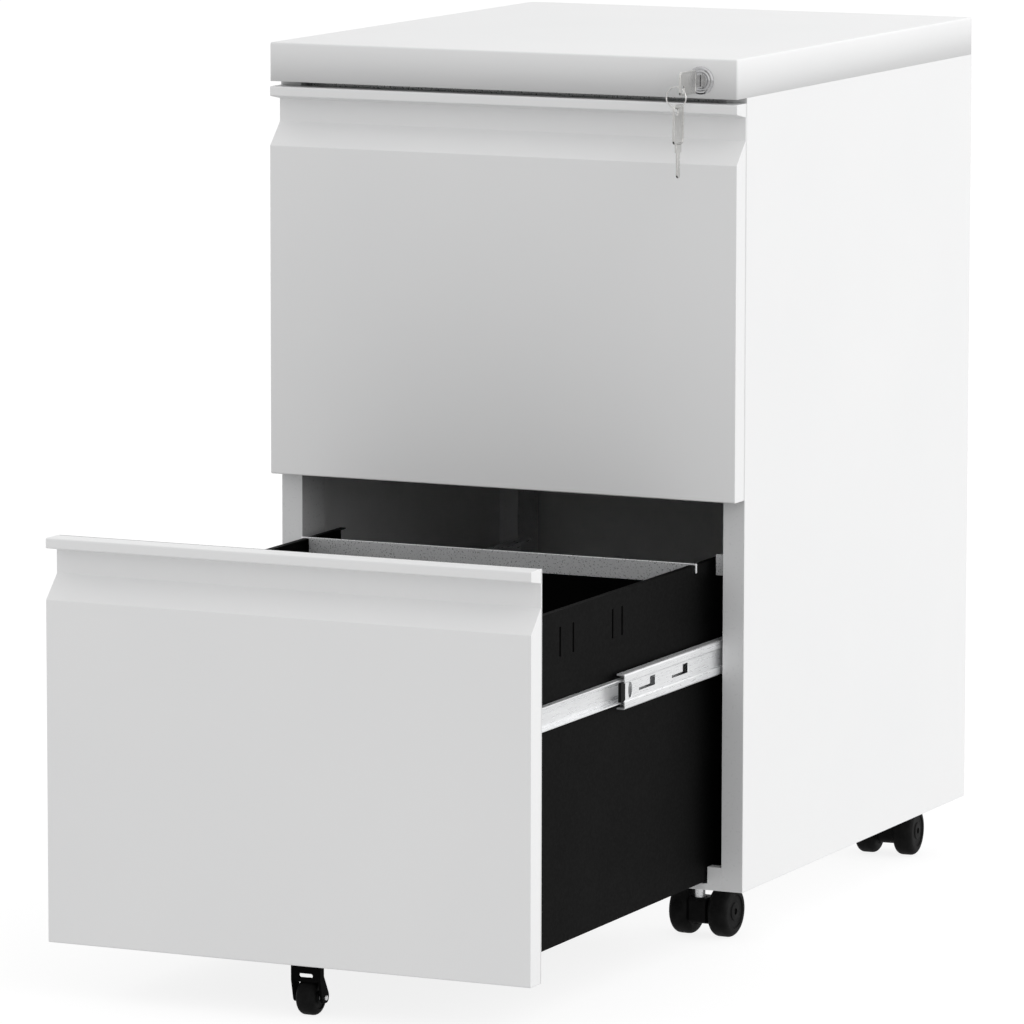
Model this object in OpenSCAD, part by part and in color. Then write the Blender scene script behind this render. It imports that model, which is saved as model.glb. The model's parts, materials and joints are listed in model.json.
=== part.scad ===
// Mobile filing cabinet with two file drawers: folded steel carcass on four swivel casters,
// full-extension ball slides, a cam lock that drops a lock bar past both drawers, and a small
// fixed caster under the lower drawer that stops the cabinet tipping when the drawer is out.
// Frame: origin on the floor under the middle of the carcass, +X to the right as seen from the
// front, +Y to the back, +Z up. The drawer fronts face -Y. The lower drawer rests pulled out.

/* [Cabinet] */
// Width across the side panels
cabinet_w = 390; // [370:5:460]
// Depth of the carcass behind the drawer fronts
carcass_d = 460; // [450:5:560]
// Height of the top cover
cover_h = 30; // [26:1:40]
// Height of the carcass's lowest edge above the floor
carcass_lift = 43; // [42.5:0.5:43.5]
// Thickness of the folded steel sheet
sheet_t = 0.8; // [0.6:0.1:1.0]

/* [Drawers] */
// Height of one drawer front
front_h = 300; // [280:5:340]
// How far the fronts and the cover stand in front of the carcass
front_proud = 19; // [18:0.5:22]
// Height of the lower front's bottom edge above the floor
front_lift = 41.5; // [41:0.5:42]
// Gap between the two fronts
front_gap = 2.5; // [2:0.5:4]
// Gap between the upper front and the top cover
cover_gap = 4; // [3:0.5:6]
// Height of the lip's front edge
lip_h = 7.5; // [6:0.5:9]
// Depth of the finger recess under the lip
recess_d = 17; // [15:0.5:17]
// How far the lower drawer rests pulled out
lower_open = 365; // [0:5:400]

/* [Slides] */
// Space between a drawer side and its upright
slide_space = 12.5; // [12.5:0.1:13]
// Height of the outer slide member
slide_h = 35; // [35:0.5:36]
// Length of the outer slide member
slide_len = 400; // [380:5:400]

/* [Casters] */
// Diameter of a swivel caster's wheels
wheel_d = 40; // [38:0.5:40]
// Width of one swivel caster wheel
wheel_w = 16.5; // [14:0.5:17]
// Distance from the swivel axis to the axle
caster_trail = 12; // [10:0.5:14]
// Diameter of the fifth caster's wheel
fifth_wheel_d = 27; // [25:0.5:28]

/* [Lock] */
// Distance from the cabinet's middle to the lock's axis
lock_x = 165.5; // [165:0.5:166]
// Reach of the lock cam's pin
cam_reach = 12; // [11:0.5:12]

/* [Hidden] */

$fn = 64;
eps = 0.01;                 // overlap that makes two touching shapes one
cut = 1;                    // how far a cut runs past the faces it opens

WHITE = "white";
POST = "gainsboro";
BLACK = [0.08, 0.08, 0.08];
ZINC = "silver";
CHROME = [0.75, 0.75, 0.78];

// The two drawers, and the sides of the cabinet
LOWER = 0;
UPPER = 1;
LEFT = -1;
RIGHT = 1;

half_w = cabinet_w / 2;
inner_w = half_w - sheet_t;              // inner face of a side panel
front_y = -carcass_d / 2;
back_y = carcass_d / 2;
face_y = front_y - front_proud;          // plane of the drawer fronts
drawer_pitch = front_h + front_gap;
cover_z = front_lift + 2 * front_h + front_gap + cover_gap;
top_z = cover_z + cover_h;

// Drawer front section, measured back from its face and up from its bottom edge
slack = 0.4;                             // between a closed front and the carcass
front_d = front_proud - slack;
skin_d = front_d - sheet_t;              // the liner closes the last sheet of depth
lip_drop = 3;                            // fall of the lip's underside
recess_h = 28;                           // from the lip's top to the recess's lower edge
bevel_h = 45.5;                          // from the lip's top to the bevel's lower edge
wall_top = front_h - bevel_h;            // top of the drawer box
wall_bottom = 8.5;                       // bottom of the drawer's side walls
floor_h = 16.5;                          // drawer floor
back_drop = 20;                          // the back wall's top below the side walls'
box_back_y = 176;                        // outer face of the drawer's back wall, closed
rim_w = 5;                               // width of a side wall's hemmed rim

// Uprights and slides
post_w = 17.5;
post_d = 40;
post_t = 1;
post_x = half_w - post_w;                // inner face of an upright
box_x = post_x - slide_space;            // outer face of a drawer side
rear_post_y = 168;
front_rail_in = 18;                      // front top rail behind the carcass's front
rear_rail_in = 12;                       // rear top rail behind the rear uprights' front
slide_h0 = 181;                          // slide centre above the front's bottom edge
slide_front_y = front_y + 2;
middle_front_y = front_y + 7.5;
middle_len = 380;
inner_front_y = front_y + 1;
inner_len = 378;
middle_h = 26.5;
inner_h = 18;
race = 1.2;                              // sheet of the slide members

// Base
pan_top = carcass_lift + 5;
pan_t = 1;
rail_t = 1.2;                            // sheet of the base's front rail
notch_x = 26;                            // half width of the fifth caster's notch
notch_d = 42;
caster_x = 148;
caster_y_front = front_y + 28;
caster_y_rear = back_y - 36;
caster_yaw_front_right = -2;
caster_yaw_rear_right = 4;
caster_yaw_left = 6;
stem_r = 4;
axle_r = 2.5;
running = 0.05;                          // radial clearance of a running fit
pressed = 0.02;                          // radial gap between a wheel and its pressed-in axle
housing_w = 14;
housing_foot = 12;
housing_top = 30;
hub_r = 11.5;
stem_foot = 15;
wheel_gap = 16;                          // between the two wheels of one caster
wheel_round = 5;
fifth_x = 6;                             // the fifth caster stands a little right of the middle
fifth_y = front_y + 10;
fifth_r = fifth_wheel_d / 2;
fifth_wheel_w = 15;
fifth_round = 3;
fifth_axle_r = 2;
fifth_bracket_w = 24;
fifth_bracket_t = 2;

// Lock
lock_z = cover_z + 13.4;
bezel_r = 10.5;
bezel_t = 2.5;
barrel_r = 8;
barrel_end = front_y + 3;
plug_proud = 0.5;
plug_end = barrel_end + 0.4;
plug_r = 6;
cam_t = 1.6;
cam_pin_r = 2;
bar_y = front_y + 7;                     // front of the lock bar
bar_t = 2;
bar_x = 181;
bar_w = 8;
hook_h = 16;
hook_lift = 2.5;                         // air between an unlocked hook and its catch
catch_h = 20;
catch_h0 = 220.5;                        // catch above the front's bottom edge
pin_rise = cam_reach * sin(45);
key_t = 1.6;
key_l = 36;                              // bow and shank, in front of the shoulder
blade_l = 19;
blade_h = 5;
shank_l = 12;
shank_h = 9;
bow_w = 18;
bow_r = 4;
key_hole_r = 3.2;
key_hole_in = 5;                         // from the bow's edges to the middle of its hole
key_y = face_y - bezel_t - 1.5;          // shoulder of the key in the lock
keyway_t = key_t + 0.3;
keyway_h = 6.2;
keyway_end = face_y + 18;
ring_r = 8;
ring_wire_r = 0.7;
ring_lean = 38;                          // lets the key turn in the ring
key_hole = [lock_x, key_y - key_l + key_hole_in, lock_z - bow_w / 2 + key_hole_in];
ring_c = key_hole - ring_r * [sin(ring_lean), 0, cos(ring_lean)];

function bottom(level) = front_lift + level * drawer_pitch;
function pulled(level) = level == LOWER ? lower_open : 0;
function side_of(s) = s == RIGHT ? 0 : 1;

// ---- shared shapes --------------------------------------------------------------------------

// Box between two opposite corners
module slab(lo, hi) {
    translate(lo) cube(hi - lo);
}

// Keeps a shape on the right, or mirrors it to the left
module on_side(s) {
    mirror([side_of(s), 0, 0]) children();
}

// Extrudes a (y, z) outline along X from x0 to x1
module across(x0, x1) {
    translate([x0, 0, 0]) rotate([90, 0, 90]) linear_extrude(x1 - x0) children();
}

// Extrudes an (x, z) outline along +Y from y0
module along(y0, length) {
    translate([0, y0 + length, 0]) rotate([90, 0, 0]) linear_extrude(length) children();
}

module rod_y(r, y0, y1) {
    translate([0, y0, 0]) rotate([-90, 0, 0]) cylinder(r = r, h = y1 - y0);
}

module rod_x(r, x0, x1) {
    translate([x0, 0, 0]) rotate([0, 90, 0]) cylinder(r = r, h = x1 - x0);
}

// ---- carcass --------------------------------------------------------------------------------

// Tray that closes the top, with a folded edge all round
module top_cover() color(WHITE) {
    difference() {
        slab([-half_w, face_y, cover_z], [half_w, back_y, top_z]);
        slab([-inner_w, face_y + sheet_t, cover_z - cut],
             [inner_w, back_y - sheet_t, top_z - sheet_t]);
        translate([lock_x, 0, lock_z]) rod_y(barrel_r, face_y - cut, face_y + sheet_t + cut);
    }
    short_of_carcass = 2;
    fold = front_proud - short_of_carcass;
    slab([-inner_w - eps, face_y + eps, cover_z],
         [inner_w + eps, face_y + fold, cover_z + sheet_t]);
}

// Flat side with a folded edge along its top and bottom
module side_panel(s) color(WHITE) on_side(s) {
    fold = 12;
    clear_of_lock = 18;
    slab([inner_w, front_y, carcass_lift], [half_w, back_y, cover_z]);
    slab([inner_w - fold, front_y + clear_of_lock, cover_z - sheet_t],
         [inner_w + eps, back_y - fold, cover_z]);
}

module side_panel_left() side_panel(LEFT);
module side_panel_right() side_panel(RIGHT);

module back_panel() color(WHITE) {
    fold = 14;
    slab([-inner_w, back_y - sheet_t, carcass_lift], [inner_w, back_y, cover_z]);
    for (s = [LEFT, RIGHT]) on_side(s)
        slab([inner_w - sheet_t, back_y - fold, pan_top],
             [inner_w, back_y - sheet_t + eps, cover_z - sheet_t]);
}

// Floor of the carcass, notched at the front for the fifth caster
module base_pan() color(WHITE) difference() {
    under = pan_top - pan_t - cut;
    slab([-inner_w, front_y + rail_t, pan_top - pan_t], [inner_w, back_y - sheet_t, pan_top]);
    slab([-notch_x, front_y, under], [notch_x, front_y + notch_d, pan_top + cut]);
    for (s = [LEFT, RIGHT], y = [caster_y_front, caster_y_rear])
        translate([s * caster_x, y, under]) cylinder(r = stem_r, h = pan_top + cut - under);
}

// Rail that closes the front of the base: low under the drawer box, tall beside it
module base_front_rail() color(POST) {
    tall = 18;
    ear_gap = 0.8;
    ear_fold = 10;
    ear_x = box_x + ear_gap;
    for (s = [LEFT, RIGHT]) on_side(s) {
        slab([notch_x, front_y, carcass_lift], [ear_x + eps, front_y + rail_t, pan_top]);
        slab([ear_x, front_y, carcass_lift], [post_x, front_y + rail_t, carcass_lift + tall]);
        slab([ear_x, front_y + eps, carcass_lift + tall - rail_t],
             [post_x, front_y + ear_fold, carcass_lift + tall]);
    }
}

// Folded front post: face, inner flange that carries the slides, and an edge fold
module front_upright(s) color(POST) on_side(s) difference() {
    edge_gap = 6;
    pan_air = 0.2;
    union() {
        slab([post_x, front_y, carcass_lift], [inner_w, front_y + post_t, cover_z]);
        slab([post_x, front_y, carcass_lift], [post_x + post_t, front_y + post_d, cover_z - sheet_t]);
        slab([post_x, front_y + post_d - post_t, pan_top],
             [inner_w - edge_gap, front_y + post_d, cover_z - sheet_t]);
    }
    x0 = post_x - cut;
    x1 = post_x + post_t + cut;
    if (s == RIGHT) {
        slot_air = 1.5;
        end_air = 2;
        tab_slot = 12;
        slot_y = [bar_y - slot_air, bar_y + bar_t + slot_air];
        hook_low = catch_h0 + catch_h + hook_lift;
        for (level = [LOWER, UPPER])
            slab([x0, slot_y[0], bottom(level) + hook_low - 2 * pin_rise - end_air],
                 [x1, slot_y[1], bottom(level) + hook_low + hook_h + end_air]);
        slab([x0, slot_y[0], cover_z - tab_slot], [x1, slot_y[1], cover_z + cut]);
    }
    slab([x0, front_y + post_t, carcass_lift - cut],
         [x1, front_y + post_d + cut, pan_top + pan_air]);
}

module front_upright_left() front_upright(LEFT);
module front_upright_right() front_upright(RIGHT);

// Folded rear post that carries the slides' rear ends
module rear_upright(s) color(POST) on_side(s) {
    z0 = pan_top;
    z1 = cover_z - sheet_t;
    slab([post_x, rear_post_y, z0], [post_x + post_t, rear_post_y + post_d, z1]);
    for (y = [rear_post_y, rear_post_y + post_d - post_t])
        slab([post_x, y, z0], [inner_w, y + post_t, z1]);
}

module rear_upright_left() rear_upright(LEFT);
module rear_upright_right() rear_upright(RIGHT);

// Angle between two uprights, under the top cover
module top_rail(y) color(ZINC) {
    rail = 20;
    under_cover = 2;
    z = cover_z - under_cover;
    slab([-post_x, y, z - rail], [post_x, y + post_t, z]);
    slab([-post_x, y, z - post_t], [post_x, y + rail, z]);
}

module front_top_rail() top_rail(front_y + front_rail_in);
module rear_top_rail() top_rail(rear_post_y + rear_rail_in);

// Pan-head screws that hold the back panel
module panel_screws() color(ZINC) {
    edge_in = 20;
    end_in = 40;
    head_r = 3.5;
    head_t = 1.4;
    for (s = [LEFT, RIGHT], z = [pan_top + end_in, (pan_top + cover_z) / 2, cover_z - end_in])
        translate([s * (half_w - edge_in), 0, z]) rod_y(head_r, back_y, back_y + head_t);
}

// ---- slides ---------------------------------------------------------------------------------

// Places a slide member's (across, z) section: 0 is the drawer side, slide_space the upright
module slide_member(level, s, y0, length) on_side(s)
    translate([box_x, 0, bottom(level) + slide_h0]) along(y0, length) children();

module slide_outer(level, s) color(ZINC) slide_member(level, s, slide_front_y, slide_len) {
    half = slide_h / 2;
    reach = 2;
    lip = 1;
    translate([slide_space - race, -half]) square([race, slide_h]);
    for (m = [0, 1]) mirror([0, m]) {
        translate([reach, half - race]) square([slide_space - reach, race]);
        translate([reach, half - race - lip]) square([race, lip + eps]);
    }
}

module slide_outer_upper_left() slide_outer(UPPER, LEFT);
module slide_outer_upper_right() slide_outer(UPPER, RIGHT);
module slide_outer_lower_left() slide_outer(LOWER, LEFT);
module slide_outer_lower_right() slide_outer(LOWER, RIGHT);

// Middle member: sunk web between two shoulders, flanges towards the drawer
module slide_middle(level, s) color(ZINC) translate([0, -pulled(level) / 2, 0]) difference() {
    half = middle_h / 2;
    web_u = 7.3;
    shoulder_u = 8.6;
    flange_u = 2.4;
    web_half = 8;
    slide_member(level, s, middle_front_y, middle_len) {
        translate([web_u, -web_half]) square([race, 2 * web_half]);
        for (m = [0, 1]) mirror([0, m]) {
            translate([web_u, web_half - race]) square([shoulder_u + race - web_u, race]);
            translate([shoulder_u, web_half - race]) square([race, half - web_half + race]);
            translate([flange_u, half - race]) square([shoulder_u + race - flange_u, race]);
        }
    }
    slot_w = 8.5;
    slot_z = [-2.6, 4.3];
    for (y = [48.5, 109])
        on_side(s) translate([box_x + web_u, middle_front_y + y, bottom(level) + slide_h0])
            slab([-cut, 0, slot_z[0]], [race + cut, slot_w, slot_z[1]]);
}

module slide_middle_upper_left() slide_middle(UPPER, LEFT);
module slide_middle_upper_right() slide_middle(UPPER, RIGHT);
module slide_middle_lower_left() slide_middle(LOWER, LEFT);
module slide_middle_lower_right() slide_middle(LOWER, RIGHT);

// Inner members of one drawer, fixed to its sides
module slide_inner(level) color(ZINC) translate([0, -pulled(level), 0]) {
    half = inner_h / 2;
    flange = 6.2;
    for (s = [LEFT, RIGHT])
        slide_member(level, s, inner_front_y, inner_len) {
            translate([0, -half]) square([race, inner_h]);
            for (m = [0, 1]) mirror([0, m]) translate([0, half - race]) square([flange, race]);
        }
}

module slide_inner_upper() slide_inner(UPPER);
module slide_inner_lower() slide_inner(LOWER);

// ---- drawers --------------------------------------------------------------------------------

// Puts a drawer's parts, drawn closed with z = 0 at the front's bottom edge, where they rest
module in_drawer(level) translate([0, -pulled(level), bottom(level)]) children();

// Height of the lip's underside and of the bevel at depth d behind the face
function lip_under(d) = front_h - lip_h - lip_drop * d / recess_d;
function bevel_at(d) = front_h - bevel_h + (bevel_h - recess_h) * d / recess_d;

// One folded skin: top ledge, lip, recess, bevel, face panel and bottom fold
module front_section() {
    t = sheet_t;
    lip_rise = t * sqrt(1 + pow(lip_drop / recess_d, 2));
    bevel_fall = t * sqrt(1 + pow((bevel_h - recess_h) / recess_d, 2));
    polygon([
        [skin_d, front_h], [0, front_h], [0, front_h - lip_h], [recess_d, lip_under(recess_d)],
        [recess_d, bevel_at(recess_d)], [0, bevel_at(0)], [0, 0], [skin_d, 0],
        [skin_d, t], [t, t], [t, bevel_at(t) - bevel_fall],
        [skin_d, bevel_at(skin_d) - bevel_fall], [skin_d, lip_under(skin_d) + lip_rise],
        [t, lip_under(t) + lip_rise], [t, front_h - t], [skin_d, front_h - t]
    ]);
}

module drawer_front(level) color(WHITE) in_drawer(level) translate([0, face_y, 0]) {
    across(-half_w, half_w) front_section();
    for (s = [LEFT, RIGHT]) on_side(s) across(half_w - sheet_t, half_w) {
        polygon([[0, 0], [0, bevel_at(0)], [recess_d, bevel_at(recess_d)],
                 [skin_d, bevel_at(recess_d)], [skin_d, 0]]);
        polygon([[0, front_h], [0, lip_under(0)], [recess_d, lip_under(recess_d)],
                 [skin_d, lip_under(recess_d)], [skin_d, front_h]]);
    }
}

module upper_drawer_front() drawer_front(UPPER);
module lower_drawer_front() drawer_front(LOWER);

// Flat sheet that closes the front's back and ends the drawer box
module drawer_liner(level) color(BLACK) in_drawer(level)
    slab([-inner_w, face_y + skin_d, 0], [inner_w, face_y + front_d, front_h]);

module upper_drawer_liner() drawer_liner(UPPER);
module lower_drawer_liner() drawer_liner(LOWER);

// Drawer side with a hemmed rim and four slots that can hold a divider
module drawer_side(level, s) color(BLACK) in_drawer(level) on_side(s) difference() {
    union() {
        slab([box_x - sheet_t, face_y + front_d, wall_bottom], [box_x, box_back_y, wall_top]);
        slab([box_x - rim_w, face_y + front_d, wall_top - sheet_t],
             [box_x, box_back_y, wall_top]);
    }
    slot_h = 22;
    slot_w = 2.5;
    slot_drop = 34;
    for (y = [95, 118, 188, 205])
        translate([box_x, front_y + y, wall_top - slot_drop])
            slab([-sheet_t - cut, 0, 0], [cut, slot_w, slot_h]);
}

module upper_drawer_side_left() drawer_side(UPPER, LEFT);
module upper_drawer_side_right() drawer_side(UPPER, RIGHT);
module lower_drawer_side_left() drawer_side(LOWER, LEFT);
module lower_drawer_side_right() drawer_side(LOWER, RIGHT);

module drawer_bottom(level) color(BLACK) in_drawer(level)
    slab([-box_x + sheet_t, face_y + front_d, floor_h],
         [box_x - sheet_t, box_back_y, floor_h + sheet_t]);

module upper_drawer_bottom() drawer_bottom(UPPER);
module lower_drawer_bottom() drawer_bottom(LOWER);

module drawer_back(level) color(BLACK) in_drawer(level)
    slab([-box_x + sheet_t, box_back_y - sheet_t, floor_h + sheet_t],
         [box_x - sheet_t, box_back_y, wall_top - back_drop]);

module upper_drawer_back() drawer_back(UPPER);
module lower_drawer_back() drawer_back(LOWER);

// Two flat bars across the drawer whose ends hook over the rims, for hanging files
module hanging_bars(level) color(ZINC) in_drawer(level) {
    bar_h = 14;
    bar_thick = 2;
    hook_t = 1.2;
    hook_drop = 6;
    end_x = box_x - rim_w - 0.4;
    over = wall_top + hook_t;
    for (y = [front_y + 10, front_y + 340]) translate([0, y, 0]) {
        slab([-end_x, 0, wall_top - bar_h], [end_x, bar_thick, over]);
        for (s = [LEFT, RIGHT]) on_side(s) {
            slab([end_x - eps, 0, wall_top], [box_x + hook_t, bar_thick, over]);
            slab([box_x, 0, wall_top - hook_drop], [box_x + hook_t, bar_thick, over]);
        }
    }
}

module upper_hanging_bars() hanging_bars(UPPER);
module lower_hanging_bars() hanging_bars(LOWER);

// Angle on the drawer's right side that the lock bar's hook stands in front of
module lock_catch(level) color(ZINC) in_drawer(level) {
    air = 2;
    wing_w = 11;
    wing_t = 2;
    foot_l = 18;
    foot_t = 1.2;
    catch_y = bar_y + bar_t + air;
    slab([box_x, catch_y, catch_h0], [box_x + wing_w, catch_y + wing_t, catch_h0 + catch_h]);
    slab([box_x, catch_y, catch_h0], [box_x + foot_t, catch_y + foot_l, catch_h0 + catch_h]);
}

module upper_lock_catch() lock_catch(UPPER);
module lower_lock_catch() lock_catch(LOWER);

// ---- lock -----------------------------------------------------------------------------------

module at_lock() translate([lock_x, 0, lock_z]) children();

// Round bezel and barrel with a bore for the plug
module lock_housing() color(CHROME) at_lock() difference() {
    union() {
        rod_y(bezel_r, face_y - bezel_t, face_y);
        rod_y(barrel_r, face_y - eps, barrel_end);
    }
    rod_y(plug_r + running, face_y - bezel_t - cut, barrel_end + cut);
}

module lock_nut() color(ZINC) at_lock() difference() {
    nut_r = 11;
    nut_t = 3;
    rod_y(nut_r, face_y + sheet_t, face_y + sheet_t + nut_t);
    rod_y(barrel_r, face_y, face_y + sheet_t + nut_t + cut);
}

// Turning core with an upright keyway
module lock_plug() color(CHROME) at_lock() difference() {
    rod_y(plug_r, face_y - bezel_t - plug_proud, plug_end);
    slab([-keyway_t / 2, face_y - bezel_t - plug_proud - cut, -keyway_h / 2],
         [keyway_t / 2, keyway_end, keyway_h / 2]);
}

// Cam on the back of the plug; its pin runs in the lock bar's slot
module lock_cam() color(ZINC) at_lock() rotate([0, -45, 0]) {
    arm = 9;
    pin_past = 1;
    cam_end = plug_end + cam_t;
    slab([0, plug_end, -arm / 2], [cam_reach, cam_end, arm / 2]);
    rod_y(plug_r, plug_end, cam_end);
    translate([cam_reach, 0, 0]) {
        rod_y(arm / 2, plug_end, cam_end);
        rod_y(cam_pin_r, plug_end, bar_y + bar_t + pin_past);
    }
}

// Pressed strip inside the right upright: slotted tab at the cam, one hook for each drawer
module lock_bar() color(ZINC) {
    tab_z = lock_z + pin_rise;
    tab_half = 5.5;
    tab_in = 4.8;
    tab_x = lock_x + cam_reach * cos(45) - tab_in;
    pin_air = 0.6;
    slot_in = 1.8;
    slot_spare = 0.2;
    slot_half = cam_pin_r + pin_air;
    slot_w = cam_reach * (1 - cos(45)) + 2 * slot_half + slot_spare;
    hook_gap = 3.5;
    hook_x = box_x + hook_gap;
    hook_z = [for (level = [LOWER, UPPER]) bottom(level) + catch_h0 + catch_h + hook_lift];
    along(bar_y, bar_t) difference() {
        union() {
            translate([bar_x, hook_z[LOWER]]) square([bar_w, tab_z + tab_half - hook_z[LOWER]]);
            translate([tab_x, tab_z - tab_half])
                square([bar_x + bar_w - tab_x, 2 * tab_half]);
            for (z = hook_z) translate([hook_x, z]) square([bar_x + bar_w - hook_x, hook_h]);
        }
        translate([tab_x + slot_in, tab_z - slot_half]) square([slot_w, 2 * slot_half]);
    }
}

// Two staples that keep the lock bar against the upright's face
module lock_bar_guides() color(ZINC) {
    gap = 0.5;
    leg = 1.2;
    staple_h = 14;
    for (z = [bottom(UPPER) + 60, bottom(UPPER) + 150]) translate([0, 0, z]) difference() {
        slab([bar_x - gap - leg, front_y + post_t, 0],
             [bar_x + bar_w + gap + leg, bar_y + bar_t + gap + leg, staple_h]);
        slab([bar_x - gap, front_y + post_t - cut, -cut],
             [bar_x + bar_w + gap, bar_y + bar_t + gap, staple_h + cut]);
    }
}

// Flat key in the upright plane, pointing along +Y, with y = 0 at its shoulder
module key_shape() {
    bow_l = key_l - shank_l;
    root = 1;
    tip_l = 2;
    tip_half = 1;
    bit_r = 1.3;
    rotate([90, 0, 90]) translate([0, 0, -key_t / 2]) linear_extrude(key_t) difference() {
        union() {
            polygon([[-root, -blade_h / 2], [-root, blade_h / 2], [blade_l - tip_l, blade_h / 2],
                     [blade_l, tip_half], [blade_l, -tip_half], [blade_l - tip_l, -blade_h / 2]]);
            translate([-shank_l - root, -shank_h / 2]) square([shank_l + root, shank_h]);
            translate([-key_l + bow_r, -bow_w / 2]) square([bow_l - 2 * bow_r, bow_w]);
            translate([-key_l, -bow_w / 2 + bow_r]) square([bow_l, bow_w - 2 * bow_r]);
            for (y = [-key_l + bow_r, -shank_l - bow_r], z = [-1, 1])
                translate([y, z * (bow_w / 2 - bow_r)]) circle(r = bow_r);
        }
        translate([-key_l + key_hole_in, -bow_w / 2 + key_hole_in]) circle(r = key_hole_r);
        for (y = [3, 6.5, 10]) translate([y, blade_h / 2]) circle(r = bit_r);
    }
}

module key() color(CHROME) translate([lock_x, key_y, lock_z]) key_shape();

// Wire ring through the key's hole
module key_ring() color(CHROME) translate(ring_c) rotate([90, 0, 0])
    rotate_extrude() translate([ring_r, 0]) circle(r = ring_wire_r, $fn = 24);

// Second key, hanging blade down from the ring
module spare_key() color(CHROME) {
    hole = [0, -key_l + key_hole_in, -bow_w / 2 + key_hole_in];
    translate(ring_c - [0, 0, ring_r])
        rotate([-90, 0, 0]) translate(-hole) key_shape();
}

// ---- casters --------------------------------------------------------------------------------

// Stands a caster's parts on its swivel axis; the wheels trail along +Y before it is turned
module at_caster(s, y, yaw) translate([s * caster_x, y, 0]) rotate([0, 0, yaw]) children();

// Threaded stems fixed in the base pan, each with its collar below and its nut above
module caster_stems() color(ZINC) {
    collar_r = 9;
    collar_t = 2.6;
    nut_r = 7.5;
    nut_t = 5;
    past_nut = 2;
    stem_l = pan_top + nut_t + past_nut - stem_foot;
    for (s = [LEFT, RIGHT], y = [caster_y_front, caster_y_rear]) translate([s * caster_x, y, 0]) {
        translate([0, 0, stem_foot]) cylinder(r = stem_r, h = stem_l);
        translate([0, 0, pan_top - pan_t - collar_t]) cylinder(r = collar_r, h = collar_t);
        translate([0, 0, pan_top]) cylinder(r = nut_r, h = nut_t, $fn = 6);
    }
}

// Swivelling body between the wheels: socket for the stem and bearing for the axle
module caster_housing(s, y, yaw) color(BLACK) at_caster(s, y, yaw) difference() {
    r = wheel_d / 2;
    half = housing_w / 2;
    end_play = 0.5;
    union() {
        translate([0, 0, housing_foot]) cylinder(r = half, h = housing_top - housing_foot);
        slab([-half, 0, housing_foot], [half, caster_trail, housing_top]);
        translate([0, caster_trail, r]) rod_x(hub_r, -half, half);
    }
    translate([0, 0, stem_foot - end_play]) cylinder(r = stem_r + running, h = housing_top);
    translate([0, caster_trail, r]) rod_x(axle_r + running, -half - cut, half + cut);
}

module caster_housing_front_left() caster_housing(LEFT, caster_y_front, caster_yaw_left);
module caster_housing_front_right()
    caster_housing(RIGHT, caster_y_front, caster_yaw_front_right);
module caster_housing_rear_left() caster_housing(LEFT, caster_y_rear, 180 + caster_yaw_left);
module caster_housing_rear_right()
    caster_housing(RIGHT, caster_y_rear, 180 + caster_yaw_rear_right);

// Half section of a wheel from its bore out, rounded at both rims
module wheel_section(r, w, round_r, bore_r) {
    translate([bore_r, 0]) square([r - round_r - bore_r, w]);
    translate([bore_r, round_r]) square([r - bore_r, w - 2 * round_r]);
    for (z = [round_r, w - round_r]) translate([r - round_r, z]) circle(r = round_r);
}

// Wheel whose outer face has a shallow ring sunk into it
module dished_wheel(r, w, round_r, bore_r) rotate([0, 90, 0]) rotate_extrude() difference() {
    dish_d = 1.2;
    dish_r0 = 0.32 * r;
    dish_r1 = 0.66 * r;
    wheel_section(r, w, round_r, bore_r);
    translate([dish_r0, w - dish_d]) square([dish_r1 - dish_r0, dish_d + cut]);
}

// Two wheels pressed on one axle
module caster_wheels(s, y, yaw) color(BLACK) at_caster(s, y, yaw) {
    r = wheel_d / 2;
    end_in = 1.2;
    axle_half = wheel_gap / 2 + wheel_w - end_in;
    translate([0, caster_trail, r]) {
        for (m = [0, 1]) mirror([m, 0, 0]) translate([wheel_gap / 2, 0, 0])
            dished_wheel(r, wheel_w, wheel_round, axle_r + pressed);
        rod_x(axle_r, -axle_half, axle_half);
    }
}

module caster_wheels_front_left() caster_wheels(LEFT, caster_y_front, caster_yaw_left);
module caster_wheels_front_right()
    caster_wheels(RIGHT, caster_y_front, caster_yaw_front_right);
module caster_wheels_rear_left() caster_wheels(LEFT, caster_y_rear, 180 + caster_yaw_left);
module caster_wheels_rear_right()
    caster_wheels(RIGHT, caster_y_rear, 180 + caster_yaw_rear_right);

module at_fifth_caster() translate([fifth_x, fifth_y - lower_open, 0]) children();

// Folded fork under the lower drawer's floor: top plate, front web and two raked cheeks
module fifth_caster_bracket() color(BLACK) at_fifth_caster() {
    half = fifth_bracket_w / 2;
    plate_z = bottom(LOWER) + floor_h;
    web_y = -9;
    web_z = 26.5;
    plate_y = 14;
    cheek_w = 6;
    knee_z = 30;
    eye_z = fifth_r + 2.5;
    tip_half = 5;
    tip_z = fifth_r - 4;
    difference() {
        for (s = [LEFT, RIGHT]) on_side(s) across(half - fifth_bracket_t, half)
            polygon([[web_y, plate_z], [web_y, web_z], [-tip_half, tip_z], [tip_half, tip_z],
                     [tip_half, eye_z], [web_y + cheek_w, knee_z], [web_y + cheek_w, plate_z]]);
        translate([0, 0, fifth_r]) rod_x(fifth_axle_r, -half - cut, half + cut);
    }
    slab([-half, web_y, plate_z - fifth_bracket_t], [half, plate_y, plate_z]);
    slab([-half, web_y, web_z], [half, web_y + fifth_bracket_t, plate_z]);
}

module fifth_caster_axle() color(ZINC) at_fifth_caster() {
    head = 1;
    end_x = fifth_bracket_w / 2 + head;
    translate([0, 0, fifth_r]) rod_x(fifth_axle_r, -end_x, end_x);
}

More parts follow.
